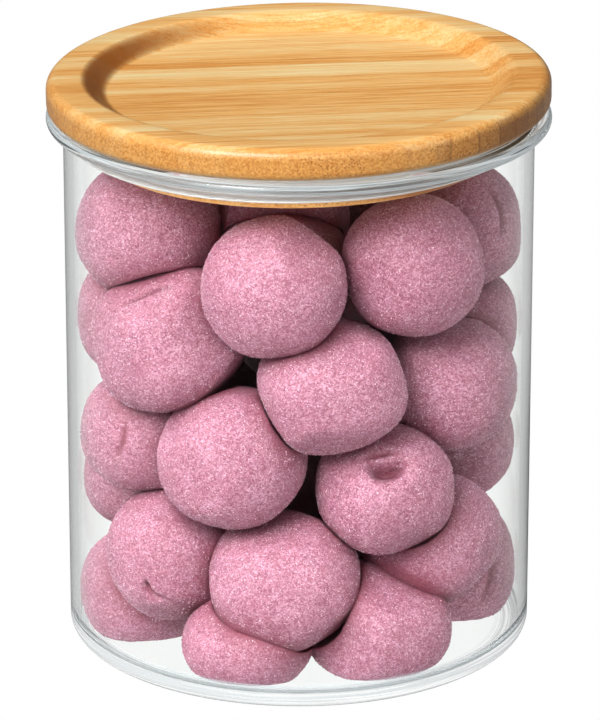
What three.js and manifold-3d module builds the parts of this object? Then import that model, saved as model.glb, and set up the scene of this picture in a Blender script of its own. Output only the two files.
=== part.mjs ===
import * as THREE from 'three';
import { mergeVertices } from 'three/addons/utils/BufferGeometryUtils.js';
import Module from 'manifold-3d';

// A straight-sided glass jar filled with sugared candy balls and shut with a bamboo lid.
// Millimetres, +Z up. The jar rests on z = 0 about the Z axis and its front faces -Y.

// Driving dimensions
const SIDES = 48; // flats around every turned piece

const BODY_RADIUS = 65.5;
const WALL = 2.4;
const BASE_THICKNESS = 3;
const BASE_CORNER = 4; // outside rounding of the foot
const FLOOR_FILLET = 5; // inside rounding between floor and wall
const LIP_RADIUS = 70.2;
const LIP_TOP = 153.4;
const LIP_THICKNESS = 3.2;

const LID_RADIUS = 70;
const LID_THICKNESS = 8.9;
const LID_TOP_ROUNDING = 3;
const LID_UNDER_ROUNDING = 2.3;
const TRAY_RIM_RADIUS = 61;
const TRAY_FLOOR_RADIUS = 52.5;
const TRAY_DEPTH = 4.5;
const PLUG_RADIUS = 57;
const PLUG_DEPTH = 11.5;
const GROOVE_DEPTH = 1.6; // the seal sits in this groove around the plug
const GROOVE_TOP = -3.8; // heights below the underside of the lid
const GROOVE_BOTTOM = -9.6;
const LID_TIP_RIGHT = 0.87; // degrees that the lid's right side stands up
const LID_TIP_BACK = 0.47; // degrees that the lid's back stands up

const SEAL_FIN_RADIUS = 62.5;
const SEAL_BODY_RADIUS = 59;
const CLEARANCE = 0.3; // left between pieces that touch

const HEAP_CORE_RADIUS = 44;
const HEAP_CORE_LOW = 6;
const HEAP_CORE_HIGH = 108;

// Candies that show through the front half of the glass, one a row:
// bearing from the front in degrees (positive to the right), height of its middle,
// width, tallness, and how far it lies in from the glass.
const FRONT_CANDIES = [
  [-78, 121, 40, 38, 0],
  [-22, 111, 37, 35, 32],
  [-9, 116, 39, 38, 0],
  [46, 118, 39, 39, 0],
  [90, 119, 35, 35, 0],
  [-90, 93, 33, 33, 0],
  [-53, 93, 39, 39, 0],
  [96, 89, 31, 31, 0],
  [12, 87, 40, 36, 0],
  [67, 79, 37, 38, 0],
  [-70, 64, 35, 34, 0],
  [-99, 43, 32, 31, 0],
  [-26, 65, 39, 39, 0],
  [32, 55, 38, 35, 0],
  [99, 52, 33, 33, 0],
  [57, 35, 38, 36, 0],
  [95, 16, 36, 36, 0],
  [-51, 32, 35, 37, 0],
  [-77, 14, 35, 35, 0],
  [-5, 29, 42, 39, 0],
  [-18, 12, 36, 26, 0],
  [30, 15, 40, 34, 0],
];

// Candies around the back, which no front view shows: rows of a ring, every other row
// set over by half a step.
const BACK_ROWS = [21, 54, 87, 119];
const BACK_FIRST_BEARING = 125;
const BACK_STEP = 36;
const BACK_PER_ROW = 4;
const BACK_WIDTH = 37;
const CANDY_UNEVENNESS = 1.5; // random change of a back candy's width and height
const FACET_ALLOWANCE = 1.04; // makes a candy of 80 flats as big as the round one

// Outline helpers

const degrees = THREE.MathUtils.degToRad;

function arc(centreR, centreZ, radiusR, radiusZ, from, to, steps) {
  const points = [];
  for (let i = 0; i <= steps; i += 1) {
    const angle = degrees(from + ((to - from) * i) / steps);
    points.push([centreR + radiusR * Math.cos(angle), centreZ + radiusZ * Math.sin(angle)]);
  }
  return points;
}

function weld(geometry) {
  geometry.deleteAttribute('normal');
  geometry.deleteAttribute('uv');
  const welded = mergeVertices(geometry, 1e-3);
  const corners = welded.getIndex().array;
  const kept = [];
  for (let i = 0; i < corners.length; i += 3) {
    const [a, b, c] = corners.slice(i, i + 3);
    if (a !== b && b !== c && c !== a) kept.push(a, b, c);
  }
  welded.setIndex(kept);
  return welded;
}

// Turns an outline of [radius, height] points once around the Z axis.
function turned(outline) {
  const points = outline.map(([r, z]) => new THREE.Vector2(r, z));
  const geometry = new THREE.LatheGeometry(points, SIDES);
  geometry.rotateX(Math.PI / 2);
  return weld(geometry);
}

// Solids for joining and cutting

const wasm = await Module();
wasm.setup();

function solid(geometry) {
  const vertProperties = Float32Array.from(geometry.getAttribute('position').array);
  const triVerts = Uint32Array.from(geometry.getIndex().array);
  return new wasm.Manifold(new wasm.Mesh({ numProp: 3, vertProperties, triVerts }));
}

function surface(manifold) {
  const mesh = manifold.getMesh();
  const geometry = new THREE.BufferGeometry();
  geometry.setAttribute('position', new THREE.BufferAttribute(mesh.vertProperties, 3));
  geometry.setIndex(new THREE.BufferAttribute(mesh.triVerts, 1));
  return geometry;
}

// The jar: one wall from the foot up to a rounded, outturned lip

const insideRadius = BODY_RADIUS - WALL;

function jarGeometry() {
  const lipHalf = LIP_THICKNESS / 2;
  const lipBottom = LIP_TOP - LIP_THICKNESS;
  const neckFillet = 1.5;
  const mouthRounding = 1.2;
  const lipCentre = LIP_RADIUS - lipHalf;
  const footRadius = BODY_RADIUS - BASE_CORNER;
  const floorRadius = insideRadius - FLOOR_FILLET;
  const mouthRadius = insideRadius + mouthRounding;
  return turned([
    [0, 0],
    ...arc(footRadius, BASE_CORNER, BASE_CORNER, BASE_CORNER, -90, 0, 4),
    ...arc(BODY_RADIUS + neckFillet, lipBottom - neckFillet, neckFillet, neckFillet, 180, 90, 2),
    ...arc(lipCentre, LIP_TOP - lipHalf, lipHalf, lipHalf, -90, 90, 4),
    ...arc(mouthRadius, LIP_TOP - mouthRounding, mouthRounding, mouthRounding, 90, 180, 2),
    ...arc(floorRadius, BASE_THICKNESS + FLOOR_FILLET, FLOOR_FILLET, FLOOR_FILLET, 0, -90, 4),
    [0, BASE_THICKNESS],
  ]);
}

// The lid: a turned bamboo disc with a shallow tray on top and a plug below.
// Its own z = 0 is the underside of the disc.

function lidGeometry() {
  const grooveRadius = PLUG_RADIUS - GROOVE_DEPTH;
  const plugRounding = 1;
  const traySteps = 5;
  const traySide = []; // falls from the rim to the tray's floor in half a wave
  for (let i = 0; i <= traySteps; i += 1) {
    const share = i / traySteps;
    const radius = TRAY_RIM_RADIUS - (TRAY_RIM_RADIUS - TRAY_FLOOR_RADIUS) * share;
    traySide.push([radius, LID_THICKNESS - (TRAY_DEPTH * (1 - Math.cos(Math.PI * share))) / 2]);
  }
  return turned([
    [0, -PLUG_DEPTH],
    ...arc(PLUG_RADIUS - plugRounding, plugRounding - PLUG_DEPTH, plugRounding, plugRounding, -90, 0, 2),
    [PLUG_RADIUS, GROOVE_BOTTOM],
    [grooveRadius, GROOVE_BOTTOM],
    [grooveRadius, GROOVE_TOP],
    [PLUG_RADIUS, GROOVE_TOP],
    [PLUG_RADIUS, 0],
    ...arc(
      LID_RADIUS - LID_UNDER_ROUNDING,
      LID_UNDER_ROUNDING,
      LID_UNDER_ROUNDING,
      LID_UNDER_ROUNDING,
      -90,
      0,
      3,
    ),
    ...arc(
      LID_RADIUS - LID_TOP_ROUNDING,
      LID_THICKNESS - LID_TOP_ROUNDING,
      LID_TOP_ROUNDING,
      LID_TOP_ROUNDING,
      0,
      90,
      4,
    ),
    ...traySide,
    [0, LID_THICKNESS - TRAY_DEPTH],
  ]);
}

// The seal: a clear ring in the plug's groove with two fins that reach towards the glass

function sealGeometry() {
  const inner = PLUG_RADIUS - GROOVE_DEPTH + CLEARANCE;
  const top = GROOVE_TOP - CLEARANCE;
  const bottom = GROOVE_BOTTOM + CLEARANCE;
  const finThickness = 1;
  const finRise = 0.9;
  const upperFin = top - 1.3;
  const lowerFin = bottom + 0.4;
  return turned([
    [inner, bottom],
    [SEAL_BODY_RADIUS, bottom],
    [SEAL_FIN_RADIUS, lowerFin + finRise],
    [SEAL_FIN_RADIUS, lowerFin + finRise + finThickness / 2],
    [SEAL_BODY_RADIUS, lowerFin + finThickness],
    [SEAL_BODY_RADIUS, upperFin - finThickness],
    [SEAL_FIN_RADIUS, upperFin + finRise - finThickness],
    [SEAL_FIN_RADIUS, upperFin + finRise - finThickness / 2],
    [SEAL_BODY_RADIUS, top],
    [inner, top],
    [inner, bottom],
  ]);
}

// The candies: a core with every ball next to the glass joined to it

let seed = 11;

function random() {
  seed = (seed * 16807) % 2147483647;
  return seed / 2147483647;
}

function uneven() {
  return CANDY_UNEVENNESS * (2 * random() - 1);
}

function candy([bearing, height, width, tallness, inset]) {
  const angle = degrees(bearing);
  const reach = insideRadius - CLEARANCE - width / 2 - inset;
  const geometry = new THREE.IcosahedronGeometry(FACET_ALLOWANCE, 1);
  geometry.scale(width / 2, width / 2, tallness / 2);
  geometry.rotateZ(angle);
  geometry.translate(reach * Math.sin(angle), -reach * Math.cos(angle), height);
  return solid(weld(geometry));
}

function backCandies() {
  const rows = [];
  BACK_ROWS.forEach((height, row) => {
    const first = BACK_FIRST_BEARING + (row % 2) * (BACK_STEP / 2);
    const count = BACK_PER_ROW - (row % 2);
    for (let i = 0; i < count; i += 1) {
      const width = BACK_WIDTH + uneven();
      rows.push([first + BACK_STEP * i, height + uneven(), width, width + uneven(), 0]);
    }
  });
  return rows;
}

// The room inside the jar, a little smaller than the glass all round
function roomGeometry() {
  const radius = insideRadius - CLEARANCE;
  const low = BASE_THICKNESS + CLEARANCE;
  const high = LIP_TOP - PLUG_DEPTH;
  return turned([
    [0, low],
    ...arc(radius - FLOOR_FILLET, low + FLOOR_FILLET, FLOOR_FILLET, FLOOR_FILLET, -90, 0, 3),
    [radius, high],
    [0, high],
  ]);
}

function heapGeometry() {
  const core = new THREE.CylinderGeometry(
    HEAP_CORE_RADIUS,
    HEAP_CORE_RADIUS,
    HEAP_CORE_HIGH - HEAP_CORE_LOW,
    16,
  );
  core.rotateX(Math.PI / 2);
  core.translate(0, 0, (HEAP_CORE_HIGH + HEAP_CORE_LOW) / 2);
  let heap = solid(weld(core));
  for (const row of [...FRONT_CANDIES, ...backCandies()]) heap = heap.add(candy(row));
  return surface(heap.intersect(solid(roomGeometry())));
}

// The assembly

function piece(name, geometry, material) {
  const mesh = new THREE.Mesh(geometry, material);
  mesh.name = name;
  return mesh;
}

const glass = new THREE.MeshStandardMaterial({
  color: 0xe6efec,
  roughness: 0.03,
  metalness: 0,
  transparent: true,
  opacity: 0.3,
});
const bamboo = new THREE.MeshStandardMaterial({ color: 0xe2a864, roughness: 0.45, metalness: 0 });
const silicone = new THREE.MeshStandardMaterial({
  color: 0xe9e6e1,
  roughness: 0.35,
  metalness: 0,
  transparent: true,
  opacity: 0.7,
});
const sugaredPink = new THREE.MeshStandardMaterial({ color: 0xe09ab0, roughness: 0.9, metalness: 0 });

const jar = new THREE.Group();
jar.add(piece('glass_jar', jarGeometry(), glass));
jar.add(piece('candy_balls', heapGeometry(), sugaredPink));

// The lid leans a little, down on the lip at the front left.
const lid = new THREE.Group();
const lidTip = degrees(Math.hypot(LID_TIP_RIGHT, LID_TIP_BACK));
const touchRadius = LID_RADIUS - LID_UNDER_ROUNDING;
lid.position.z = LIP_TOP + CLEARANCE + touchRadius * Math.sin(lidTip);
lid.rotation.set(degrees(LID_TIP_BACK), -degrees(LID_TIP_RIGHT), 0);
lid.add(piece('bamboo_lid', lidGeometry(), bamboo));
lid.add(piece('seal_ring', sealGeometry(), silicone));
jar.add(lid);

export default jar;
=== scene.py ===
# %% [markdown]
# # A jar of sugared candy balls
#
# A straight glass jar stands on a pale floor. It is packed with large pink candy balls that are
# rolled in sugar, and a bamboo lid with a clear seal ring lies on its lip. The solid model gives
# the overall sizes. This lesson makes the surfaces that the camera sees: glass walls of a real
# thickness, squashed candies with their crust of sugar, and laminated bamboo.

# %% Load the solid model
import math
import random

import bmesh
import bpy
import numpy as np
from mathutils import Matrix, Vector, noise


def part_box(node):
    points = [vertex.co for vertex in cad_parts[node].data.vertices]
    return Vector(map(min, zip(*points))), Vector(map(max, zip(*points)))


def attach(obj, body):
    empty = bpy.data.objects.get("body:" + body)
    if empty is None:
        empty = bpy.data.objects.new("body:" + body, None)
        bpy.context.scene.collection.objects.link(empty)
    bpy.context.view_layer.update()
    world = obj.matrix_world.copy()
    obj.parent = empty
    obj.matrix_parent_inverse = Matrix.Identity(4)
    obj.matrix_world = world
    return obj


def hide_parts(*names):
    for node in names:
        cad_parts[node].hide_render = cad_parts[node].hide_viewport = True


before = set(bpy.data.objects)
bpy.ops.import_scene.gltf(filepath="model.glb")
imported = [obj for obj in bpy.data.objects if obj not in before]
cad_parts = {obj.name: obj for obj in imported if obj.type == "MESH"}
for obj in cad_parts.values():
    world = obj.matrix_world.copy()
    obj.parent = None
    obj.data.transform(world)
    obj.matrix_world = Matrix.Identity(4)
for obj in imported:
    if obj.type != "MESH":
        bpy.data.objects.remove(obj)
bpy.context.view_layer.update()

# %% [markdown]
# ## The camera
#
# The picture was taken with a long lens from about 1.4 m away, looking down by almost 20 degrees.
# A long lens keeps the sides of the jar nearly parallel. The jar stands a little off the middle of
# the picture. Turning the camera would put it there too, but it would also slant the jar, so the
# lens is shifted instead, as on a view camera.

# %% Place the camera
MM = 0.001
PICTURE_WIDTH = 600
PICTURE_HEIGHT = 720
FOCAL_PIXELS = 4956.9
AXIS_PIXEL = (298.9, 320.6)
LOOK_DOWN = math.radians(19.7)
DISTANCE = 1395.9 * MM
LOOK_AT = Vector((0, 0, 90.7 * MM))
SENSOR = 36

camera_data = bpy.data.cameras.new("camera")
camera_data.sensor_width = SENSOR
camera_data.lens = FOCAL_PIXELS * SENSOR / PICTURE_HEIGHT
camera_data.shift_x = (PICTURE_WIDTH / 2 - AXIS_PIXEL[0]) / PICTURE_HEIGHT
camera_data.shift_y = (AXIS_PIXEL[1] - PICTURE_HEIGHT / 2) / PICTURE_HEIGHT
camera = bpy.data.objects.new("camera", camera_data)
bpy.context.scene.collection.objects.link(camera)
camera.location = LOOK_AT + DISTANCE * Vector((0, -math.cos(LOOK_DOWN), math.sin(LOOK_DOWN)))
camera.rotation_euler = (math.pi / 2 - LOOK_DOWN, 0, 0)
bpy.context.scene.camera = camera
print("camera at", tuple(round(v, 3) for v in camera.location))

# %% [markdown]
# ## Two helpers for shader maths
#
# A material is a small program made of nodes. It could be wired up node by node, but a pattern is
# easier to read as a sum. So `Value` wraps one socket and adds a Math node for every operator, and
# `Paint` adds any other node from its type, its settings and its inputs.

# %% Numbers that can be used in sums
class Value:
    """What leaves one socket of a node."""

    def __init__(self, paint, socket):
        self.paint = paint
        self.socket = socket

    def __add__(self, other):
        return self.paint.math("ADD", self, other)

    def __sub__(self, other):
        return self.paint.math("SUBTRACT", self, other)

    def __rsub__(self, other):
        return self.paint.math("SUBTRACT", other, self)

    def __mul__(self, other):
        return self.paint.math("MULTIPLY", self, other)

    def __truediv__(self, other):
        return self.paint.math("DIVIDE", self, other)

    def __pow__(self, other):
        return self.paint.math("POWER", self, other)

    def __lt__(self, other):
        return self.paint.math("LESS_THAN", self, other)

    def __gt__(self, other):
        return self.paint.math("GREATER_THAN", self, other)

    def __abs__(self):
        return self.paint.math("ABSOLUTE", self)

    def __floor__(self):
        return self.paint.math("FLOOR", self)

    __radd__ = __add__
    __rmul__ = __mul__


print("sums of values add Math nodes")


# %% A material and its nodes
class Paint:
    """The nodes of one material, or of the world around the scene."""

    def __init__(self, owner):
        owner.use_nodes = True
        self.owner = owner
        self.tree = owner.node_tree
        self.tree.nodes.clear()

    def node(self, kind, settings=None, inputs=None, output=0):
        """Adds a node. An input is a number, a colour, a vector or the value of another node."""
        made = self.tree.nodes.new(kind)
        for key, value in (settings or {}).items():
            if key == "stops":
                self.set_stops(made.color_ramp, value)
            else:
                setattr(made, key, value)
        for key, value in (inputs or {}).items():
            socket = made.inputs[key]
            if isinstance(value, Value):
                self.tree.links.new(value.socket, socket)
            else:
                socket.default_value = value
        return Value(self, made.outputs[output]) if made.outputs else None

    def set_stops(self, ramp, stops):
        while len(ramp.elements) < len(stops):
            ramp.elements.new(0.5)
        for element, (place, colour) in zip(ramp.elements, stops):
            element.position = place
            element.color = (*colour, 1)

    def math(self, operation, *inputs):
        return self.node("ShaderNodeMath", {"operation": operation}, dict(enumerate(inputs)))

    def in_mm(self, turn=0):
        """The place on the piece in millimetres, turned about the jar's axis."""
        here = self.node("ShaderNodeTexCoord", output="Object")
        inputs = {"Vector": here, "Rotation": (0, 0, turn), "Scale": (1 / MM,) * 3}
        return self.node("ShaderNodeMapping", {}, inputs)

    def from_axis(self, here):
        """How far a place is from the jar's axis."""
        without_height = {0: here, 1: (1, 1, 0)}
        flat = self.node("ShaderNodeVectorMath", {"operation": "MULTIPLY"}, without_height)
        return self.node("ShaderNodeVectorMath", {"operation": "LENGTH"}, {0: flat}, 1)

    def split(self, vector):
        """The three parts of a vector or a colour."""
        parts = self.node("ShaderNodeSeparateXYZ", {}, {0: vector}).socket.node.outputs
        return [Value(self, part) for part in parts]

    def fade(self, value, start, end, top=1):
        """0 up to start and top from end on. The end can also be the lower of the two."""
        return self.node("ShaderNodeMapRange", {}, {0: value, 1: start, 2: end, 3: 0, 4: top})

    def noise(self, here, scale, detail, roughness):
        inputs = {"Vector": here, "Scale": scale, "Detail": detail, "Roughness": roughness}
        return self.node("ShaderNodeTexNoise", {}, inputs)

    def cells(self, here, scale, output="Distance"):
        """Space cut into cells: the distance to the middle of a cell, or its random colour."""
        return self.node("ShaderNodeTexVoronoi", {}, {"Vector": here, "Scale": scale}, output)

    def cell_tones(self, here, scale):
        """A random number for each cell."""
        return self.split(self.cells(here, scale, "Color"))[0]

    def ramp(self, factor, *stops):
        return self.node("ShaderNodeValToRGB", {"stops": stops}, {"Fac": factor})

    def mix(self, share, first, second):
        """Two colours, with a share of the second."""
        inputs = {0: share, 6: first, 7: second}
        return self.node("ShaderNodeMix", {"data_type": "RGBA"}, inputs, 2)

    def bump(self, height, strength, distance):
        inputs = {"Height": height, "Strength": strength, "Distance": distance}
        return self.node("ShaderNodeBump", {}, inputs)

    def surface(self, inputs):
        return self.node("ShaderNodeBsdfPrincipled", {}, inputs)

    def blend(self, share, first, second):
        """Two shaders, with a share of the second."""
        return self.node("ShaderNodeMixShader", {}, {0: share, 1: first, 2: second})

    def finish(self, shader):
        self.node("ShaderNodeOutputMaterial", {}, {"Surface": shader})
        return self.owner


def linear(red, green, blue):
    """A colour as the eye reads it, 0 to 255, in the numbers that light adds up in."""
    parts = [value / 255 for value in (red, green, blue)]
    return tuple(p / 12.92 if p <= 0.04045 else ((p + 0.055) / 1.055) ** 2.4 for p in parts)


def rgba(red, green, blue):
    return (*linear(red, green, blue), 1)


def grey(brightness):
    return (brightness,) * 3


WHITE = grey(1)
BLACK = grey(0)
print("a middle grey is", round(linear(128, 128, 128)[0], 3), "in light")

# %% [markdown]
# ## Glass and silicone
#
# Glass bends light, which draws the grey lines along the walls and the streaks in the thick foot.
# A surface that is only faded out would have no lines, so the wall is a real shell with a shader
# that bends light. It bends less than real glass does, because in these white surroundings the
# true index lays a grey veil over the candies. The lip and the foot also look pale, as light is
# caught in them. Finding that light by chance would take very long, so a pale shader that glows is
# mixed in there as a painted glow, broken into rings. For the same reason light on its way to a
# lamp passes straight through the glass, or the candies inside would stand in the dark.

# %% Clear bodies
REFLECTION = 0.06


def clear_body(paint, tint, roughness, index):
    """Bends the light that goes through, and reflects a little of it."""
    return paint.surface(
        {
            "Base Color": tint,
            "Roughness": roughness,
            "IOR": index,
            "Transmission Weight": 1,
            "Specular Tint": (*grey(REFLECTION), 1),
        }
    )


def open_to_lamps(paint, body, tint):
    """The body, but open to light on its way to a lamp."""
    open_way = paint.node("ShaderNodeBsdfTransparent", {}, {"Color": tint})
    to_a_lamp = paint.node("ShaderNodeLightPath", output="Is Shadow Ray")
    return paint.blend(to_a_lamp, body, open_way)


print("a clear body reflects", REFLECTION, "of what glass does")

# %% Clear glass
GLASS_INDEX = 1.25
LIP_GLOW = (149.9, 150.5, 0.8)
FOOT_GLOW = (8, 5, 0.6)
FOOT_RING = (56, 59)
RINGS_PER_MM = 1.5
RINGS_DRAWN_OUT = 0.015
RINGS_OFFSET = 3.3


def glass_material():
    """Clear, with a painted glow for the light caught in the lip and in the foot."""
    paint = Paint(bpy.data.materials.new("clear_glass"))
    clear = clear_body(paint, rgba(253, 255, 254), 0, GLASS_INDEX)
    # Painted glow: a pale shader that glows stands in for the light caught in the lip and the foot.
    painted_glow = paint.surface(
        {
            "Base Color": rgba(166, 174, 176),
            "Roughness": 0.2,
            "Coat Weight": 0.5,
            "Emission Color": (0.27, 0.29, 0.3, 1),
            "Emission Strength": 1,
        }
    )
    here = paint.in_mm()
    right, _, up = paint.split(here)
    radius = paint.from_axis(here)
    sideways = right * RINGS_DRAWN_OUT + RINGS_OFFSET
    around = paint.node("ShaderNodeCombineXYZ", {}, {0: sideways, 1: radius, 2: up})
    rings = paint.noise(around, RINGS_PER_MM, 3, 0.6)
    soft_rings = paint.ramp(rings, (0.42, grey(0.05)), (0.56, WHITE))
    lip = paint.fade(up, *LIP_GLOW)
    foot = paint.fade(up, *FOOT_GLOW) * paint.fade(radius, *FOOT_RING)
    body = paint.blend((lip + foot) * soft_rings, clear, painted_glow)
    return paint.finish(open_to_lamps(paint, body, rgba(248, 250, 250)))


clear_glass = glass_material()
print("material:", clear_glass.name)

# %% Clear silicone
SILICONE_INDEX = 1.41
SILICONE_MILK = 0.6


def silicone_material():
    """Part clear and part milky."""
    paint = Paint(bpy.data.materials.new("clear_silicone"))
    clear = clear_body(paint, rgba(236, 232, 230), 0.12, SILICONE_INDEX)
    milky = paint.surface({"Base Color": rgba(226, 220, 218), "Roughness": 0.35})
    body = paint.blend(SILICONE_MILK, clear, milky)
    return paint.finish(open_to_lamps(paint, body, rgba(236, 232, 230)))


clear_silicone = silicone_material()
print("material:", clear_silicone.name)

# %% [markdown]
# ## Turned pieces
#
# The jar, the lid and the ring are all round. They could be stacked from cylinders and rings, but
# then every rounding would need a bevel. So each is an outline, a short list of corners and arcs,
# that is spun once around the axis, as on a lathe. Merging the doubles closes it to a solid.

# %% Spin an outline
ROUND_STEPS = 180
DOUBLES_APART = 1e-7


def arc(centre, radius, start, end, steps):
    """Points along an arc, as (radius, height) pairs in millimetres."""
    angles = [math.radians(start + (end - start) * i / steps) for i in range(steps + 1)]
    return [(centre[0] + radius * math.cos(a), centre[1] + radius * math.sin(a)) for a in angles]


def shown(name, bm, material):
    """Makes an object of a bmesh, smooth all over."""
    for face in bm.faces:
        face.smooth = True
    mesh = bpy.data.meshes.new(name)
    bm.to_mesh(mesh)
    bm.free()
    mesh.materials.append(material)
    piece = bpy.data.objects.new(name, mesh)
    bpy.context.scene.collection.objects.link(piece)
    print(name, len(mesh.polygons), "faces")
    return piece


def spun(name, outline, material, place=Matrix()):
    """Spins (radius, height) points around the axis and puts the result in its place."""
    bm = bmesh.new()
    verts = [bm.verts.new((r * MM, 0, z * MM)) for r, z in outline]
    edges = [bm.edges.new(pair) for pair in zip(verts, verts[1:])]
    bmesh.ops.spin(
        bm,
        geom=verts + edges,
        cent=(0, 0, 0),
        axis=(0, 0, 1),
        angle=math.tau,
        steps=ROUND_STEPS,
        use_merge=True,
    )
    bmesh.ops.remove_doubles(bm, verts=bm.verts, dist=DOUBLES_APART)
    bmesh.ops.recalc_face_normals(bm, faces=bm.faces)
    bmesh.ops.transform(bm, matrix=place, verts=bm.verts)
    return shown(name, bm, material)


print("turned pieces have", ROUND_STEPS, "faces around")

# %% [markdown]
# ## The jar
#
# The wall is 2.4 mm thick, with a rounded foot and an outturned, rounded lip. Inside, the floor
# runs up into the wall in a fillet, and this thick corner draws the grey streaks at the bottom. A
# single skin would lose them, so the outline has both sides of the wall. It runs from the axis
# along the underside, up the outside, over the lip, down the inside and back to the axis.

# %% Make the jar
_, jar_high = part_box("glass_jar")
BODY_RADIUS = 65.5
WALL = 2.4
INSIDE = BODY_RADIUS - WALL
BASE = 3
FOOT = 4
FILLET = 5
LIP_RADIUS = jar_high[0] / MM
LIP_TOP = jar_high[2] / MM
LIP_HALF = 1.6
NECK = 1.5
MOUTH = 1.2

jar_outline = [
    (0, 0),
    *arc((BODY_RADIUS - FOOT, FOOT), FOOT, -90, 0, 12),
    *arc((BODY_RADIUS + NECK, LIP_TOP - 2 * LIP_HALF - NECK), NECK, 180, 90, 6),
    *arc((LIP_RADIUS - LIP_HALF, LIP_TOP - LIP_HALF), LIP_HALF, -90, 90, 16),
    *arc((INSIDE + MOUTH, LIP_TOP - MOUTH), MOUTH, 90, 180, 6),
    *arc((INSIDE - FILLET, BASE + FILLET), FILLET, 0, -90, 12),
    (0, BASE),
]
jar = spun("jar", jar_outline, clear_glass)
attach(jar, "root")
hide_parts("glass_jar")

# %% [markdown]
# ## Bamboo
#
# A bamboo board is glued up from strips. Along them run dark fibre bundles: on the flat top they
# show as fine streaks, and where the turned edge cuts across them they show as dots. Top and edge
# could be two materials, but then they would meet at a hard line. Here both are patterns in space,
# and the way that a face looks mixes them. Faces that look to the right cut the end grain, which
# is darker from strip to strip at the edge, and the tray's curved side at the left gets a deep
# brown painted shade.

# %% Strips and panels
GRAIN_TURN = math.radians(-4)
STRIP_WIDTH = 5.8
PANEL_WIDTH = 18
STRIP_OFFSET = 0.3


def strips(paint, place, width):
    """A random tone for each strip, and the distance from its middle: 0.5 is at the joint."""
    number = place / width + STRIP_OFFSET
    whole = math.floor(number)
    tone = paint.node("ShaderNodeTexWhiteNoise", {"noise_dimensions": "1D"}, {"W": whole})
    return tone, abs(number - whole - 0.5)


print("bamboo strips are", STRIP_WIDTH, "mm wide")

# %% Bamboo finish
STREAKS_DRAWN_OUT = 0.015
BUNDLES_PER_MM = 1.15
RIGHT_END = (0.5, 0.62)
TRAY_WALL_RADIUS = 62
TRAY_WALL_SHADE = (0.15, 0.5, 0.88)


def bamboo_material():
    """Streaks along the grain, dots across it, and a darker end at the right."""
    paint = Paint(bpy.data.materials.new("bamboo"))
    grain = paint.in_mm(GRAIN_TURN)
    along, across, up = paint.split(grain)
    strip_tone, to_joint = strips(paint, across, STRIP_WIDTH)
    panel_tone, _ = strips(paint, along, PANEL_WIDTH)

    # How far a face looks sideways, and which faces look right.
    right, _, high = paint.split(paint.node("ShaderNodeTexCoord", output="Normal"))
    end_grain = (1 - abs(high)) ** 0.6
    right_end = paint.fade(right, *RIGHT_END)

    # The streaks of the flat top.
    sideways = along * STREAKS_DRAWN_OUT
    drawn_out = paint.node("ShaderNodeCombineXYZ", {}, {0: sideways, 1: across, 2: up})
    broad = paint.noise(drawn_out, 0.16, 3, 0.6)
    streaks = paint.noise(drawn_out, 1.1, 4, 0.7)
    fine = paint.noise(drawn_out, 3.2, 3, 0.75)
    tone = broad * 0.25 + streaks * 0.33 + strip_tone * 0.1 + fine * 0.34
    top = paint.ramp(
        tone,
        (0.4, linear(220, 140, 57)),
        (0.5, linear(253, 192, 112)),
        (0.61, linear(255, 230, 170)),
    )

    # The speckled side, with its fibre bundles.
    speckle = paint.noise(grain, 1.4, 3, 0.7)
    side = paint.ramp(speckle, (0.35, linear(188, 110, 36)), (0.62, linear(234, 172, 92)))
    colour = paint.mix(end_grain * 0.85, top, side)
    bundles = paint.ramp(paint.cells(grain, BUNDLES_PER_MM), (0.22, WHITE), (0.4, BLACK))
    dense = paint.ramp(panel_tone, (0.35, grey(0.2)), (0.55, WHITE))
    colour = paint.mix(bundles * dense * end_grain * 0.65, colour, rgba(150, 86, 34))

    # The darker strips at the right, the glued joints, and painted shade on the tray's curved side.
    dark_end = paint.ramp(strip_tone, (0.3, grey(0.25)), (0.7, WHITE))
    colour = paint.mix(dark_end * right_end * end_grain * 0.7, colour, rgba(140, 84, 40))
    joint = paint.fade(to_joint, 0.44, 0.5)
    colour = paint.mix(joint * (right_end * end_grain * 0.5 + 0.12), colour, rgba(120, 66, 28))
    # Painted shade: faces that look right inside the rim, the left side of the tray, turn deep
    # brown.
    painted_tray_shade = paint.fade(right, *TRAY_WALL_SHADE) * (paint.from_axis(grain) < TRAY_WALL_RADIUS)
    colour = paint.mix(painted_tray_shade, colour, rgba(142, 76, 20))

    bump = paint.bump(fine - bundles * end_grain * 0.6, 0.2, 0.0003)
    finish = {"Base Color": colour, "Roughness": 0.36, "Coat Weight": 0.15, "Normal": bump}
    return paint.finish(paint.surface(finish))


bamboo = bamboo_material()
print("material:", bamboo.name)

# %% [markdown]
# ## The lid
#
# The lid is one turned disc. Its edges are rounded, its top is sunk to a shallow tray with a
# curved side, and a plug below reaches into the jar. It leans by one degree, because the seal
# holds it up at the back right. The outline is spun level first and then tipped, because a lathe
# makes only level pieces.

# %% How the lid lies
LID_RADIUS = 70
UNDER_ROUNDING = 2.3
CLEARANCE = 0.3
TIP_RIGHT = 0.87
TIP_BACK = 0.47

lean = math.radians(math.hypot(TIP_RIGHT, TIP_BACK))
underside = LIP_TOP + CLEARANCE + (LID_RADIUS - UNDER_ROUNDING) * math.sin(lean)
tipped = (
    Matrix.Translation((0, 0, underside * MM))
    @ Matrix.Rotation(math.radians(TIP_BACK), 4, "X")
    @ Matrix.Rotation(-math.radians(TIP_RIGHT), 4, "Y")
)
print("the lid leans by", round(math.degrees(lean), 2), "degrees")

# %% Make the lid
LID_THICKNESS = 8.9
TOP_ROUNDING = 3
TRAY_RIM = 61
TRAY_FLOOR = 52.5
TRAY_DEPTH = 4.5
TRAY_STEPS = 16
PLUG_RADIUS = 57
PLUG_DEPTH = 11.5
PLUG_ROUNDING = 1
GROOVE = 1.6
GROOVE_TOP = -3.8
GROOVE_BOTTOM = -9.6


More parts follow.
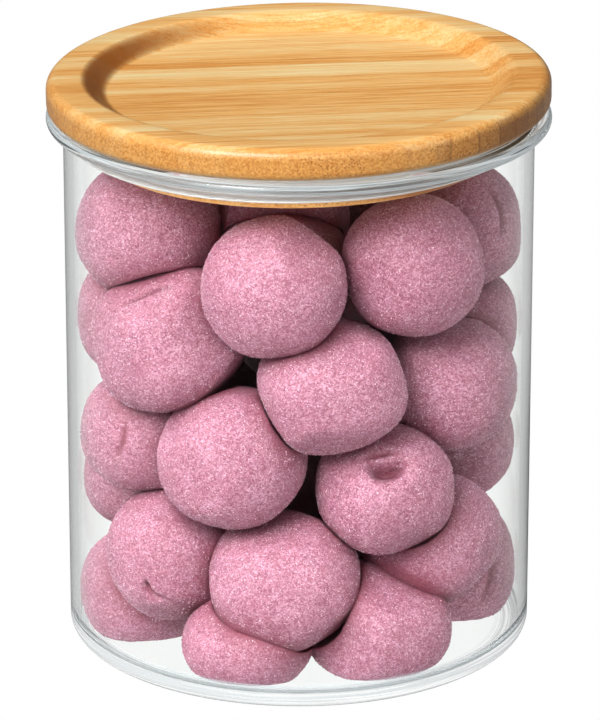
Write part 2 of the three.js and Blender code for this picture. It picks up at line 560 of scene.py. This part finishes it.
def tray_side(step):
    """The fall from the rim to the tray's floor, half a wave."""
    share = step / TRAY_STEPS
    fall = TRAY_DEPTH * (1 - math.cos(math.pi * share)) / 2
    return (TRAY_RIM - (TRAY_RIM - TRAY_FLOOR) * share, LID_THICKNESS - fall)


lid_outline = [
    (0, -PLUG_DEPTH),
    *arc((PLUG_RADIUS - PLUG_ROUNDING, PLUG_ROUNDING - PLUG_DEPTH), PLUG_ROUNDING, -90, 0, 4),
    (PLUG_RADIUS, GROOVE_BOTTOM),
    (PLUG_RADIUS - GROOVE, GROOVE_BOTTOM),
    (PLUG_RADIUS - GROOVE, GROOVE_TOP),
    (PLUG_RADIUS, GROOVE_TOP),
    (PLUG_RADIUS, 0),
    *arc((LID_RADIUS - UNDER_ROUNDING, UNDER_ROUNDING), UNDER_ROUNDING, -90, 0, 8),
    *arc((LID_RADIUS - TOP_ROUNDING, LID_THICKNESS - TOP_ROUNDING), TOP_ROUNDING, 0, 90, 10),
    *map(tray_side, range(TRAY_STEPS + 1)),
    (0, LID_THICKNESS - TRAY_DEPTH),
]
lid = spun("lid", lid_outline, bamboo, tipped)
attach(lid, "root")
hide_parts("bamboo_lid")

# %% [markdown]
# ## The seal ring
#
# The ring sits in the plug's groove and reaches for the glass with thin fins. It is clear, so
# under the lip it shows only as a pale band over the plug. Plain rings in a stack would leave
# gaps between them, so body and fins are one outline, spun and tipped with the lid.

# %% Make the seal ring
SEAL_BODY = 59
SEAL_SHOULDER = 0.3
SEAL_FIN = 62.5
FINS = 3
FIN_FIRST = 0.3
FIN_STEP = 1.9
FIN_ROOT = 1
FIN_RISE = 1.15
FIN_TIP = 0.25
seal_inner = PLUG_RADIUS - GROOVE + CLEARANCE
seal_top = GROOVE_TOP - CLEARANCE
seal_bottom = GROOVE_BOTTOM + CLEARANCE


def fin(number):
    """One fin, as outline points: out along its underside, round the tip and back."""
    low = seal_bottom + FIN_FIRST + FIN_STEP * number
    tip = arc((SEAL_FIN - FIN_TIP, low + FIN_RISE), FIN_TIP, -70, 80, 4)
    return [(SEAL_BODY, low), *tip, (SEAL_BODY, low + FIN_ROOT)]


seal_outline = [
    (seal_inner, seal_bottom),
    (SEAL_BODY - SEAL_SHOULDER, seal_bottom),
    *[point for number in range(FINS) for point in fin(number)],
    (SEAL_BODY - SEAL_SHOULDER, seal_top),
    (seal_inner, seal_top),
    (seal_inner, seal_bottom),
]
seal = spun("seal", seal_outline, clear_silicone, tipped)
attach(seal, "root")
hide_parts("seal_ring")

# %% [markdown]
# ## Candy finish
#
# A candy is a soft pink paste under a crust of sugar. The paste lets light in, which warms the
# shade, and the crust is matt and pale with a tone of its own in every grain. Each grain could be
# a solid, but a jar holds millions, so the crust is a pattern of small cells with a bump. Creases
# show the crimson paste, and where candies touch the same crimson is painted on as shade; a point
# attribute says where. Deep in the heap the gaps between the candies get a dark red painted shade.

# %% Sugared finish
CRUST_PER_MM = 2.2
FLECKS_PER_MM = 3.4
PAINTED_SHADE_IN_HEAP = (40, 28, 0.8)
PAINTED_SHADE_BELOW_TOP = (122, 112)
PASTE_AND_SHADE_SHOWS = 0.9
GLOW_DEPTH = 4 * MM


def sugared_material():
    """Pale crust over pink paste, bare paste in creases, and painted shade at contacts and deep
    inside.
    """
    paint = Paint(bpy.data.materials.new("sugared_candy"))
    here = paint.in_mm()
    cloudy = paint.noise(here, 0.09, 3, 0.6)
    patches = paint.noise(here, 0.35, 3, 0.6)
    crystal = paint.cell_tones(here, CRUST_PER_MM)
    fleck = paint.cell_tones(here, FLECKS_PER_MM)
    tone = cloudy * 0.25 + patches * 0.2 + crystal * 0.3 + fleck * 0.25
    colour = paint.ramp(
        tone,
        (0.26, linear(122, 56, 80)),
        (0.5, linear(156, 92, 114)),
        (0.72, linear(190, 140, 158)),
    )
    _, _, up = paint.split(here)
    # Painted shade: dark red towards the axis and below the top of the heap, where the gaps lie in
    # shade.
    painted_deep_shade = paint.fade(paint.from_axis(here), *PAINTED_SHADE_IN_HEAP) * paint.fade(up, *PAINTED_SHADE_BELOW_TOP)
    colour = paint.mix(painted_deep_shade, colour, rgba(70, 12, 20))
    bare = paint.node("ShaderNodeAttribute", {"attribute_name": "bare"}, output="Fac")
    # Crimson paste in creases, and the same crimson as painted shade where candies touch.
    colour = paint.mix(bare * PASTE_AND_SHADE_SHOWS, colour, rgba(108, 14, 42))
    pits = paint.noise(here, CRUST_PER_MM, 3, 0.7)
    grains = crystal * 0.7 - paint.cells(here, CRUST_PER_MM) * 0.4
    return paint.finish(
        paint.surface(
            {
                "Base Color": colour,
                "Roughness": 0.6,
                "IOR": 1.5,
                "Specular IOR Level": 0.8,
                "Subsurface Weight": 0.35,
                "Subsurface Radius": (1, 0.25, 0.35),
                "Subsurface Scale": GLOW_DEPTH,
                "Sheen Weight": 0.05,
                "Sheen Roughness": 0.5,
                "Sheen Tint": rgba(236, 214, 228),
                "Normal": paint.bump(pits + grains, 0.6, 0.0005),
            }
        )
    )


sugared = sugared_material()
print("material:", sugared.name)

# %% Loose crystals
TINTS_PER_MM = 1.3


def crystal_material():
    """From pink to nearly white, and glossy on their flat faces."""
    paint = Paint(bpy.data.materials.new("sugar_crystals"))
    colour = paint.ramp(
        paint.cell_tones(paint.in_mm(), TINTS_PER_MM),
        (0.1, linear(138, 72, 98)),
        (0.5, linear(172, 112, 136)),
        (0.85, linear(224, 194, 206)),
    )
    return paint.finish(paint.surface({"Base Color": colour, "Roughness": 0.25}))


crystals = crystal_material()
print("material:", crystals.name)

# %% [markdown]
# ## How the candies lie
#
# Each candy has a bearing around the jar, a height, a width and a tallness. A physics run could
# drop them in, but then none would lie where the picture shows it. So a list gives those that show
# through the front of the glass, and a rule sets the rows around the back and the stack in the
# middle. The nearest come first: where two press together, the one listed first keeps its form
# and the other gives.

# %% Places of the candies
# Bearing from the front in degrees, height, width, tallness, distance from the glass, form from 2
# for a ball to 3 for a box with rounded edges, and roll in degrees.
FRONT_CANDIES = {
    "c03": (-9, 116, 39, 38, 0, 2.2, 10),
    "c04": (45, 118, 38, 39, 0, 2.1, 0),
    "c07": (-53, 95, 39, 38, 0, 2.9, 20),
    "c09": (12, 87, 39, 35, 0, 2.5, 15),
    "c14": (32, 55, 37, 35, 0, 2.3, 0),
    "c13": (-25, 65, 40, 39, 0, 2.2, 0),
    "c10": (67, 79, 36, 37, 0, 2.3, 0),
    "c20": (-5, 29, 42, 39, 0, 2.2, 0),
    "c16": (57, 35, 38, 36, 0, 2.3, 0),
    "c05": (90, 119, 35, 35, 0, 2.3, 0),
    "c01": (-78, 121, 40, 38, 0, 2.2, 0),
    "c11": (-70, 64, 35, 34, 0, 2.2, 0),
    "c18": (-51, 32, 35, 37, 0, 2.3, 0),
    "c22": (30, 15, 40, 34, 0, 2.3, 0),
    "c21": (-18, 12, 36, 26, 0, 2.3, 0),
    "c08": (96, 89, 31, 31, 0, 2.2, 0),
    "c15": (99, 52, 33, 33, 0, 2.2, 0),
    "c06": (-90, 93, 33, 33, 0, 2.2, 0),
    "c12": (-99, 43, 32, 31, 0, 2.2, 0),
    "c17": (95, 16, 36, 36, 0, 2.3, 0),
    "c19": (-77, 14, 35, 35, 0, 2.2, 0),
    "c02": (-22, 111, 37, 35, 32, 2.2, 0),
}
print(len(FRONT_CANDIES), "candies show through the front")


# %% One candy
class Candy:
    """Where one candy lies and what shape it has before it is pressed."""

    def __init__(self, name, bearing, height, width, tallness, inset=0, boxy=2.2, roll=0):
        self.name = name
        angle = math.radians(bearing)
        reach = INSIDE - CLEARANCE - width / 2 - inset
        outward = np.array((math.sin(angle), -math.cos(angle), 0))
        self.centre = reach * outward + np.array((0, 0, height))
        level = np.array(((math.cos(angle), math.sin(angle), 0), -outward, (0, 0, 1)))
        turn = np.array(Matrix.Rotation(math.radians(roll), 3, "Y"))
        self.axes = turn @ level
        self.half = np.array((width, width, tallness)) / 2
        self.boxy = boxy

    def depth(self, points):
        """1 on the candy's surface, less inside it and more outside."""
        local = np.abs((points - self.centre) @ self.axes.T) / self.half
        return (local**self.boxy).sum(axis=1) ** (1 / self.boxy)


candies = [Candy(name, *row) for name, row in FRONT_CANDIES.items()]
print(candies[0].name, "lies at", candies[0].centre.round(1))

# %% The back rows and the middle
BACK_ROWS = (21, 54, 87, 119)
BACK_FIRST = 125
BACK_STEP = 36
BACK_PER_ROW = 4
BACK_WIDTH = 37
MIDDLE_HEIGHTS = (22, 56, 90, 121)
MIDDLE_SIZE = 38
MIDDLE_OFF_AXIS = 5
UNEVEN = 1.5
SEED = 11
DRAW_FACTOR = 16807
DRAW_RANGE = 2**31 - 1

random.seed(SEED)
draw = SEED


def uneven():
    """A small seeded change in size or height, by the same rule as in the solid model."""
    global draw
    draw = draw * DRAW_FACTOR % DRAW_RANGE
    return UNEVEN * (2 * draw / DRAW_RANGE - 1)


for row, row_height in enumerate(BACK_ROWS):
    first = BACK_FIRST + (row % 2) * BACK_STEP / 2
    for i in range(BACK_PER_ROW - row % 2):
        width = BACK_WIDTH + uneven()
        height = row_height + uneven()
        tallness = width + uneven()
        form = (random.uniform(2.1, 2.4), random.uniform(-15, 15))
        bearing = first + BACK_STEP * i
        candies.append(Candy(f"back_{row}_{i}", bearing, height, width, tallness, 0, *form))
inset = INSIDE - MIDDLE_SIZE / 2 - MIDDLE_OFF_AXIS
for i, height in enumerate(MIDDLE_HEIGHTS):
    candies.append(Candy(f"middle_{i}", 90 * i, height, MIDDLE_SIZE, MIDDLE_SIZE, inset))
print(len(candies), "candies in the heap")

# %% [markdown]
# ## The shape of a candy
#
# The candies were cut and rolled while soft, so they are balls with flat sides and lumps. A ball
# starts as a fine icosphere, because its points are spread evenly. It is moved out to a form
# between a ball and a box, made lumpy, and cut down softly on a few sides.

# %% Lumps and flat sides
LUMP = 0.035
LUMPS_ACROSS = 1.4
FLAT_SHARE = 0.85
FLAT_EDGE = 0.05
FLATS_AT_RANDOM = 3
# For each candy, the direction of a flat side and its distance from the centre of a ball of 1.
FLATS = {
    "c03": [((0.5, -0.38, 0.77), 0.9)],
    "c07": [((-0.35, -0.3, 0.9), 0.93)],
    "c09": [((0.1, -0.5, 0.85), 0.93)],
    "c04": [((0.6, -0.3, 0.7), 0.92), ((-0.7, -0.6, -0.3), 0.93)],
    "c13": [((-0.75, -0.3, 0.55), 0.93)],
    "c14": [((-0.05, -0.71, 0.7), 0.9), ((-0.9, -0.4, 0.1), 0.92)],
    "c20": [((-0.1, -0.2, 0.97), 0.9), ((0.6, -0.5, -0.6), 0.93)],
    "c22": [((0.35, -0.3, 0.88), 0.84)],
    "c18": [((0.5, -0.3, 0.8), 0.9)],
}


def unit(vector):
    return np.array(vector) / np.linalg.norm(vector)


def flatten(points, candy):
    """Presses flat sides into a ball of radius 1; directions are those of the jar."""
    chance = np.random.default_rng(sum(map(ord, candy.name)))
    flats = [(chance.normal(size=3), chance.uniform(0.92, 0.99)) for _ in range(FLATS_AT_RANDOM)]
    for direction, height in [*flats, *FLATS.get(candy.name, [])]:
        facing = candy.axes @ unit(direction)
        excess = points @ facing - height
        rounded_excess = (excess + np.sqrt(excess**2 + FLAT_EDGE**2)) / 2
        points -= np.outer(FLAT_SHARE * rounded_excess, facing)
    return points


def lumpy_ball(candy, level):
    """A bmesh of a ball, and where its points go, in millimetres."""
    bm = bmesh.new()
    bmesh.ops.create_icosphere(bm, subdivisions=level, radius=1)
    start = Vector(candy.centre)
    moved = [v.co * (1 + LUMP * noise.noise(v.co * LUMPS_ACROSS + start)) for v in bm.verts]
    points = np.array(moved)
    spread = (np.abs(points) ** candy.boxy).sum(axis=1) ** (1 / candy.boxy)
    lumps = np.linalg.norm(points, axis=1)
    points *= (lumps / spread)[:, None]
    points = flatten(points, candy)
    return bm, (points * candy.half) @ candy.axes + candy.centre


print(sum(map(len, FLATS.values())), "flat sides seen in the picture")

# %% [markdown]
# ## Pressed together
#
# In the full jar the candies are squashed by each other, by the glass and by the floor. A soft body
# simulation would do it slowly and move them from their places. Here a point that lies inside an
# earlier candy is moved straight out to its surface, found by halving the way again and again.
# The glass, its fillet and the floor flatten what would pass through them.

# %% Press a candy into its place
PRESS_GAP = 0.02
FAR_ENOUGH = 2
HALVINGS = 16
WALL_GAP = 0.3
ROOM_RADIUS = INSIDE - WALL_GAP
ROOM_FLOOR = BASE + WALL_GAP


def press(points, candy, earlier):
    """Moves the points that lie inside an earlier candy back out of it."""
    away = candy.centre - earlier.centre
    distance = np.linalg.norm(away)
    if distance > max(candy.half) + max(earlier.half) + FAR_ENOUGH:
        return points
    away /= distance
    limit = 1 + PRESS_GAP / min(earlier.half)
    inside = earlier.depth(points) < limit
    near = np.zeros(inside.sum())
    far = near + 2 * max(earlier.half) + FAR_ENOUGH
    start = points[inside]
    for _ in range(HALVINGS):
        middle = (near + far) / 2
        still_in = earlier.depth(start + middle[:, None] * away) < limit
        near = np.where(still_in, middle, near)
        far = np.where(still_in, far, middle)
    points[inside] = start + far[:, None] * away
    return points


def keep_in_room(points):
    """Flattens the points against the glass wall, its fillet and the floor."""
    corner = ROOM_FLOOR + FILLET
    radius = np.hypot(points[:, 0], points[:, 1])
    drop = np.clip(corner - points[:, 2], 0, FILLET)
    reach = ROOM_RADIUS - FILLET + np.sqrt(FILLET**2 - drop**2)
    points[:, :2] *= np.minimum(1, reach / np.maximum(radius, 1e-6))[:, None]
    points[:, 2] = np.maximum(points[:, 2], ROOM_FLOOR)
    return points


print("the room for candies is", round(2 * ROOM_RADIUS, 1), "mm wide")

# %% [markdown]
# ## Creases, bare paste and painted contact shade
#
# Some candies have a slit or a pit where the soft paste was pinched, and there the sugar is gone.
# A cut with another solid would leave hard edges. Sinking the points under a smooth bell curve,
# long one way and narrow the other, keeps the paste soft. The same curve says how bare each point
# is, and the distance to the next candy sets a painted shade in the same crimson near contacts.

# %% Creases and contacts
TOUCH_REACH = 8
TOUCH_SHADE = 0.9
# For each candy, where a crease faces, where it runs, and its length, width, depth and bend in
# shares of the candy's half width.
CREASES = {
    "c07": [((-0.37, -0.36, 0.86), (0.94, 0.11, 0.32), 0.3, 0.05, 0.22, 0)],
    "c14": [
        ((0.02, -0.78, 0.62), (1, 0, 0.1), 0.24, 0.12, 0.36, 1.2),
        ((-0.1, -0.55, 0.83), (0.5, -0.3, 0.6), 0.25, 0.05, 0.06, 0),
    ],
    "c18": [((-0.3, -0.9, -0.3), (0.6, -0.1, -0.8), 0.2, 0.06, 0.14, 1.5)],
    "c05": [((0.55, -0.69, 0.46), (0.1, 0, 1), 0.4, 0.05, 0.05, 0.3)],
    "c17": [((0.5, -0.8, 0.1), (0.1, 0.1, 1), 0.4, 0.06, 0.06, 0.3)],
    "c11": [((-0.3, -0.9, 0.2), (0.2, 0.1, 1), 0.3, 0.05, 0.04, 0.5)],
}


def crease(points, candy):
    """Sinks curved creases into a pressed candy, and says how bare each point is of sugar."""
    bare = np.zeros(len(points))
    for direction, along, length, width, depth, bend in CREASES.get(candy.name, []):
        facing = unit(direction)
        lengthwise = unit(np.array(along) - (along @ facing) * facing)
        sideways = np.cross(facing, lengthwise)
        size = candy.half.mean()
        local = (points - candy.centre) / size
        u = local @ lengthwise
        v = local @ sideways - bend * u**2
        weight = np.exp(-((u / length) ** 4) - (v / width) ** 2) * (local @ facing > 0)
        points -= np.outer(depth * size * weight, facing)
        bare = np.maximum(bare, weight)
    return points, bare


def contact_shade(points, candy):
    """Painted shade: 1 where a candy touches another, 0 a few millimetres away."""
    close = np.zeros(len(points))
    for other in candies:
        reach = max(candy.half) + max(other.half) + TOUCH_REACH
        if other is not candy and np.linalg.norm(candy.centre - other.centre) < reach:
            gap = (other.depth(points) - 1) * min(other.half)
            close = np.maximum(close, np.clip(1 - gap / TOUCH_REACH, 0, 1))
    return close**2


print(sum(map(len, CREASES.values())), "creases")

# %% [markdown]
# ## From shapes to pieces
#
# Forty objects would be hard to handle, so several candies are joined to one piece. Those nearest
# to the camera get finer balls. Last, a small noise along the normals roughens the surface as the
# sugar does. A displacement in the material could do that too, but it would be lost when the model
# is used elsewhere.

# %% Make the candies
FINE = 6
COARSE = 5
GRIT = 0.12
GRIT_PER_MM = 1.1


def add_grit(bm):
    """Roughens the surface along its normals."""
    bm.normal_update()
    for vert in bm.verts:
        vert.co += vert.normal * GRIT * noise.noise(vert.co * GRIT_PER_MM)


def candy_bmesh(index, level):
    """One finished candy. The ones before it in the list press it."""
    candy = candies[index]
    bm, points = lumpy_ball(candy, level)
    for earlier in candies[:index]:
        points = press(points, candy, earlier)
    points, bare = crease(keep_in_room(points), candy)
    # The crimson near other candies is painted shade; it joins the bare paste of the creases.
    bare = np.maximum(bare, TOUCH_SHADE * contact_shade(points, candy))
    layer = bm.verts.layers.float.new("bare")
    for vert, point, share in zip(bm.verts, points, bare):
        vert.co = point
        vert[layer] = share
    add_grit(bm)
    bmesh.ops.scale(bm, vec=(MM,) * 3, verts=bm.verts)
    return bm


def candy_piece(name, indices, level):
    """Joins several candies to one piece."""
    joined = bmesh.new()
    for index in indices:
        one = candy_bmesh(index, level)
        mesh = bpy.data.meshes.new("one")
        one.to_mesh(mesh)
        one.free()
        joined.from_mesh(mesh)
        bpy.data.meshes.remove(mesh)
    piece = shown(name, joined, sugared)
    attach(piece, "root")
    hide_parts("candy_balls")
    return piece


candy_pieces = [
    candy_piece("candies_near_left", range(0, 16, 2), FINE),
    candy_piece("candies_near_right", range(1, 16, 2), FINE),
    candy_piece("candies_side", range(16, 28), COARSE),
    candy_piece("candies_back", range(28, len(candies)), COARSE),
]

# %% [markdown]
# ## Loose sugar
#
# On the crust lie bigger crystals, which sparkle and break up the outline. A loop could place them
# one by one, but there are about a hundred thousand. Geometry Nodes strews points on the faces that
# look out of the heap, puts a crystal on each, turned and sized at random, and realizes them all to
# one mesh. Each crystal has only four faces, and bare paste and painted contact shade get none.

# %% One crystal
CRYSTAL_WIDTH = 1.2
CRYSTAL_TALL = 0.8


def crystal_form():
    """A three-sided point, with four faces in all."""
    bm = bmesh.new()
    bmesh.ops.create_cone(
        bm,
        cap_ends=True,
        segments=3,
        radius1=CRYSTAL_WIDTH / 2 * MM,
        radius2=0,
        depth=CRYSTAL_TALL * MM,
    )
    form = shown("crystal_form", bm, crystals)
    for face in form.data.polygons:
        face.use_smooth = False
    return form


form = crystal_form()

# %% Nodes that strew crystals
CRYSTAL_SIZE = (0.2, 0.46)
CRYSTALS_PER_MM2 = 1.5


def strewing(form):
    """The node group that covers a piece with crystals."""
    group = bpy.data.node_groups.new("strew_sugar", "GeometryNodeTree")
    for direction in ("INPUT", "OUTPUT"):
        group.interface.new_socket(
            "Geometry", in_out=direction, socket_type="NodeSocketGeometry"
        )

    def node(kind, inputs, **settings):
        made = group.nodes.new(kind)
        for key, value in settings.items():
            setattr(made, key, value)
        for key, value in inputs.items():
            if isinstance(value, bpy.types.NodeSocket):
                group.links.new(value, made.inputs[key])
            else:
                made.inputs[key].default_value = value
        return made

    source = node("NodeGroupInput", {}).outputs[0]
    faces = node("GeometryNodeInputNamedAttribute", {"Name": "open"}, data_type="BOOLEAN")
    density = CRYSTALS_PER_MM2 / MM**2
    points = node(
        "GeometryNodeDistributePointsOnFaces",
        {"Mesh": source, "Selection": faces.outputs[0], "Density": density, "Seed": 3},
    )
    any_way = {1: (math.tau,) * 3, "Seed": 4}
    turn = node("FunctionNodeRandomValue", any_way, data_type="FLOAT_VECTOR")
    any_size = {2: CRYSTAL_SIZE[0], 3: CRYSTAL_SIZE[1], "Seed": 5}
    size = node("FunctionNodeRandomValue", any_size, data_type="FLOAT")
    crystal = node("GeometryNodeObjectInfo", {"Object": form})
    placed = node(
        "GeometryNodeInstanceOnPoints",
        {
            "Points": points.outputs["Points"],
            "Instance": crystal.outputs["Geometry"],
            "Rotation": turn.outputs[0],
            "Scale": size.outputs[1],
        },
    )
    real = node("GeometryNodeRealizeInstances", {"Geometry": placed.outputs[0]})
    node("NodeGroupOutput", {0: real.outputs[0]})
    return group


group = strewing(form)
print(group.name, "has", len(group.nodes), "nodes")

# %% Strew the sugar
HEAP_TOP = 125
OUTER_RADIUS = 36
LOOKS_OUT = 0.1
LOOKS_UP = 0.2
BARE_AND_SHADE_LIMIT = 0.75


def read_all(items, what, size, kind=float):
    """One property of all the items of a mesh, a row for each."""
    values = np.empty(len(items) * size, dtype=kind)
    items.foreach_get(what, values)
    return values.reshape(-1, size)


def mark_open_faces(mesh):
    """Marks the sugared faces that look out of the heap, to the side or over its top."""
    centres = read_all(mesh.polygons, "center", 3) / MM
    normals = read_all(mesh.polygons, "normal", 3)
    radius = np.hypot(centres[:, 0], centres[:, 1])
    outward = (centres[:, :2] * normals[:, :2]).sum(axis=1) / np.maximum(radius, 1e-6)
    sideways = (outward > LOOKS_OUT) & (radius > OUTER_RADIUS)
    upward = (normals[:, 2] > LOOKS_UP) & (centres[:, 2] > HEAP_TOP)
    corners = read_all(mesh.polygons, "vertices", 3, int)
    bare = read_all(mesh.attributes["bare"].data, "value", 1)[corners, 0]
    marks = mesh.attributes.new("open", "BOOLEAN", "FACE")
    marks.data.foreach_set("value", (sideways | upward) & (bare.max(axis=1) < BARE_AND_SHADE_LIMIT))


def strew_sugar(piece):
    """Covers a copy of the piece with crystals, and keeps only them."""
    mark_open_faces(piece.data)
    piece.modifiers.new("sugar", "NODES").node_group = group
    bpy.context.view_layer.update()
    evaluated = piece.evaluated_get(bpy.context.evaluated_depsgraph_get())
    mesh = bpy.data.meshes.new_from_object(evaluated)
    piece.modifiers.clear()
    sugar = bpy.data.objects.new(piece.name.replace("candies", "sugar"), mesh)
    bpy.context.scene.collection.objects.link(sugar)
    mesh.materials.clear()
    mesh.materials.append(crystals)
    print(sugar.name, len(mesh.polygons), "faces")
    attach(sugar, "root")
    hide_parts("candy_balls")


for piece in candy_pieces:
    strew_sugar(piece)
bpy.data.objects.remove(form)

# %% [markdown]
# ## Floor and surroundings
#
# In the picture the jar stands in pure white, and still the candies have soft shade between them.
# Surroundings bright enough to look white would wash that shade out. So floor and sky are white
# only where the eye sees them, straight or through the glass, and dim in what they send to the
# candies. In a reflection they are toned down. The floor touches the glass: a gap below the jar
# would show as a dark disc through its foot.

# %% White where it is seen
MIRRORED_LESS = 0.4


def where_seen(paint):
    """1 where the eye looks, straight or through glass, less in a reflection, 0 for other light."""
    straight, through_glass, reflections = [
        paint.node("ShaderNodeLightPath", output=kind)
        for kind in ("Is Camera Ray", "Is Transmission Ray", "Glossy Depth")
    ]
    return (straight + through_glass) * (1 - (reflections > 0.5) * MIRRORED_LESS)


print("a reflection of the white is", 1 - MIRRORED_LESS, "as bright")

# %% Floor
FLOOR_BOUNCE = 0.25
FLOOR_HALF = 12
FLOOR_RISE = 0.03 * MM

floor_paint = Paint(bpy.data.materials.new("floor"))
matt = floor_paint.surface({"Base Color": (*grey(FLOOR_BOUNCE), 1), "Roughness": 0.9})
white = floor_paint.node("ShaderNodeEmission", {}, {"Strength": 1})
floor_shader = floor_paint.blend(where_seen(floor_paint), matt, white)
bm = bmesh.new()
touching_glass = Matrix.Translation((0, 0, FLOOR_RISE))
bmesh.ops.create_grid(bm, x_segments=1, y_segments=1, size=FLOOR_HALF, matrix=touching_glass)
floor = shown("floor", bm, floor_paint.finish(floor_shader))

# %% Sky
AMBIENT = 0.06

world = bpy.data.worlds.new("surroundings")
sky = Paint(world)
brightness = where_seen(sky) * (1 - AMBIENT) + AMBIENT
background = sky.node("ShaderNodeBackground", {}, {"Color": (*WHITE, 1), "Strength": brightness})
sky.node("ShaderNodeOutputWorld", {}, {"Surface": background})
bpy.context.scene.world = world
bpy.context.scene.view_settings.view_transform = "Standard"
print("surroundings:", world.name)

# %% [markdown]
# ## Light
#
# Two large soft lights, as in a studio: the key high at the left, and a wide, weak fill low at the
# right. Large lamps could stand beside the jar, but they would show in the glass and light the near
# candies more. A sun with a wide angle gives the same soft shade and lights all candies alike.

# %% Key and fill
# The direction towards each light, its softness in degrees and its strength.
LIGHTS = {
    "key": ((-0.4, -0.62, 0.68), 32, 4.0),
    "fill": ((0.6, -0.8, 0.15), 70, 0.95),
}


def soft_sun(name, towards, softness, strength):
    """A sun that fills a wide part of the sky."""
    data = bpy.data.lights.new(name, "SUN")
    data.angle = math.radians(softness)
    data.energy = strength
    lamp = bpy.data.objects.new(name, data)
    lamp.rotation_euler = Vector(towards).to_track_quat("Z", "Y").to_euler()
    bpy.context.scene.collection.objects.link(lamp)
    print(name, "light of strength", strength)


for name, light in LIGHTS.items():
    soft_sun(name, *light)
